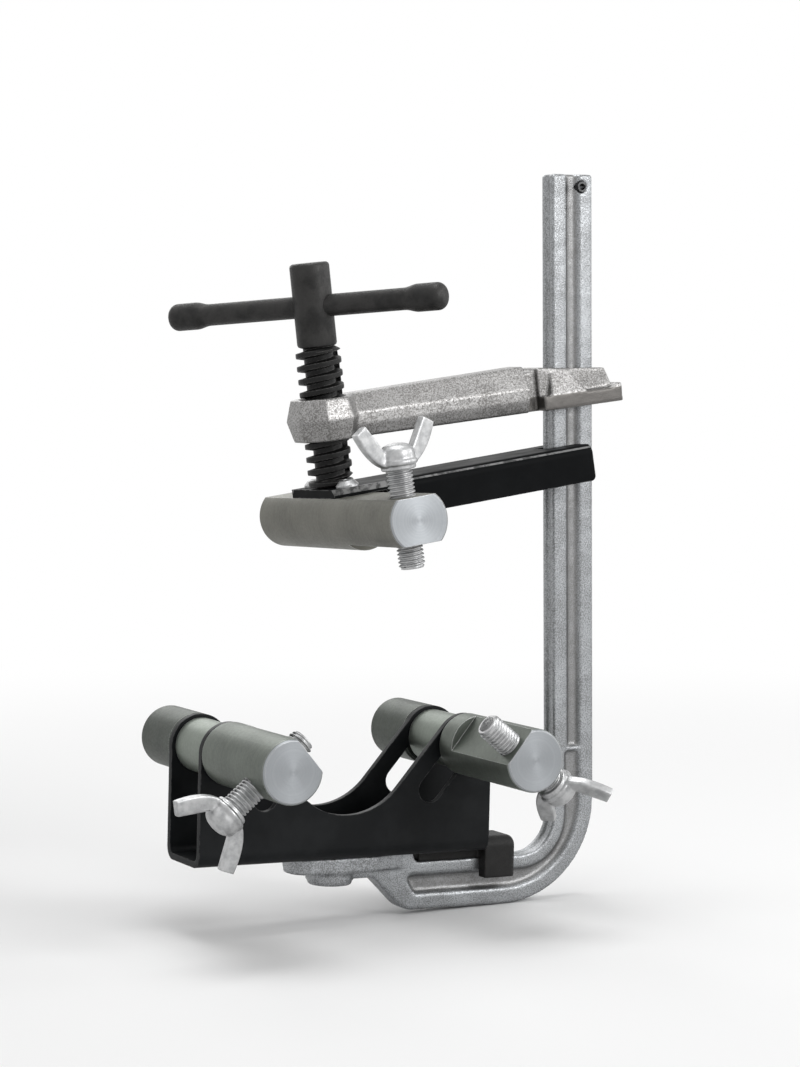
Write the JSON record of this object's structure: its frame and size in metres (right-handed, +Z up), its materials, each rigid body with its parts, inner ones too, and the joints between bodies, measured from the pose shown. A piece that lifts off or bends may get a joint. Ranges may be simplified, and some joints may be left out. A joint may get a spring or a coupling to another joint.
{
  "type": "woodworking pipe clamp",
  "caption": "Sliding-arm clamp whose folded cradle and spindle-driven upper bar grip a pipe between round bars, with wing screws that line up a second pipe.",
  "frame": {"origin": "centre of the held pipe, in the mid plane of the rail and the cradle", "axes": "+Z up the rail, +Y along the held pipe away from the wing screws, +X from the jaws to the rail"},
  "size_m": [0.2618, 0.1563, 0.3492],
  "materials": {
    "forged_steel": "forged, satin plated",
    "bar_steel": "turned, satin",
    "black_paint": "semi-gloss black",
    "dark_steel": "blackened, satin",
    "bright_zinc": "bright zinc plated"
  },
  "bodies": {
    "rail_frame": {"rail_and_fixed_arm": "forged_steel", "rail_stop_pin": "bright_zinc", "cradle": "black_paint", "saddle_block": "dark_steel", "saddle_screw": "dark_steel", "cradle_screw": "dark_steel"},
    "sliding_arm": {"sliding_arm": "forged_steel"},
    "jaw": {"guide_channel": "black_paint", "guide_screws": "bright_zinc", "upper_bar": "bar_steel"},
    "spindle": {"spindle": "dark_steel", "spindle_collar": "dark_steel"},
    "handle": {"handle_bar": "dark_steel"},
    "upper_screw": {"upper_wing_stud": "bright_zinc"},
    "upper_wing": {"upper_wing_head": "bright_zinc"},
    "left_carriage": {"left_clamp_bolt": "dark_steel", "left_rear_head": "bar_steel", "left_spacer": "bar_steel"},
    "left_bar": {"left_front_bar": "bar_steel"},
    "left_screw": {"left_wing_stud": "bright_zinc"},
    "left_wing": {"left_wing_head": "bright_zinc"},
    "right_carriage": {"right_clamp_bolt": "dark_steel", "right_rear_head": "bar_steel", "right_spacer": "bar_steel"},
    "right_bar": {"right_front_bar": "bar_steel"},
    "right_screw": {"right_wing_stud": "bright_zinc"},
    "right_wing": {"right_wing_head": "bright_zinc"}
  },
  "joints": [
    {"name": "arm_slide", "type": "slide", "parent": "rail_frame", "child": "sliding_arm", "axis": [0, 0, 1], "range_m": [-0.055, 0.08]},
    {"name": "jaw_travel", "type": "slide", "parent": "sliding_arm", "child": "jaw", "axis": [-0.1045, 0, 0.9945], "range_m": [-0.02, 0.015]},
    {"name": "spindle_turn", "type": "hinge", "parent": "jaw", "child": "spindle", "pos_m": [0.001, 0, 0.0695], "axis": [-0.1045, 0, 0.9945], "range_deg": [-1202, 902]},
    {"name": "handle_slide", "type": "slide", "parent": "spindle", "child": "handle", "axis": [0.5846, -0.809, 0.0614], "range_m": [-0.034, 0.042]},
    {"name": "upper_screw_advance", "type": "slide", "parent": "jaw", "child": "upper_screw", "axis": [0.1304, -0.0349, -0.9908], "range_m": [-0.015, 0.0115]},
    {"name": "upper_wing_turn", "type": "hinge", "parent": "upper_screw", "child": "upper_wing", "pos_m": [0.00082, -0.06959, 0.07373], "axis": [0.1304, -0.0349, -0.9908], "range_deg": [-3088, 2368]},
    {"name": "left_carriage_slide", "type": "slide", "parent": "rail_frame", "child": "left_carriage", "axis": [0.6225, 0, -0.7826], "range_m": [0, 0.027]},
    {"name": "left_bar_swivel", "type": "hinge", "parent": "left_carriage", "child": "left_bar", "pos_m": [-0.06175, 0, -0.03189], "axis": [0, 1, 0], "range_deg": [-30, 30]},
    {"name": "left_screw_advance", "type": "slide", "parent": "left_bar", "child": "left_screw", "axis": [0.7771, 0, 0.6293], "range_m": [-0.01, 0.011]},
    {"name": "left_wing_turn", "type": "hinge", "parent": "left_screw", "child": "left_wing", "pos_m": [-0.06175, -0.065, -0.03189], "axis": [0.7771, 0, 0.6293], "range_deg": [-2060, 2265]},
    {"name": "right_carriage_slide", "type": "slide", "parent": "rail_frame", "child": "right_carriage", "axis": [-0.6756, 0, -0.7373], "range_m": [0, 0.027]},
    {"name": "right_bar_swivel", "type": "hinge", "parent": "right_carriage", "child": "right_bar", "pos_m": [0.05938, 0, -0.03612], "axis": [0, 1, 0], "range_deg": [-30, 30]},
    {"name": "right_screw_advance", "type": "slide", "parent": "right_bar", "child": "right_screw", "axis": [-0.7604, 0, 0.6494], "range_m": [-0.02, 0.003]},
    {"name": "right_wing_turn", "type": "hinge", "parent": "right_screw", "child": "right_wing", "pos_m": [0.05938, -0.073, -0.03612], "axis": [-0.7604, 0, 0.6494], "range_deg": [-4117, 620]}
  ],
  "couplings": [
    {"joint": "spindle_turn", "follows": "jaw_travel", "rad_per_m": 1047.2},
    {"joint": "upper_wing_turn", "follows": "upper_screw_advance", "rad_per_m": 3590.4},
    {"joint": "left_wing_turn", "follows": "left_screw_advance", "rad_per_m": 3590.4},
    {"joint": "right_wing_turn", "follows": "right_screw_advance", "rad_per_m": 3590.4}
  ]
}
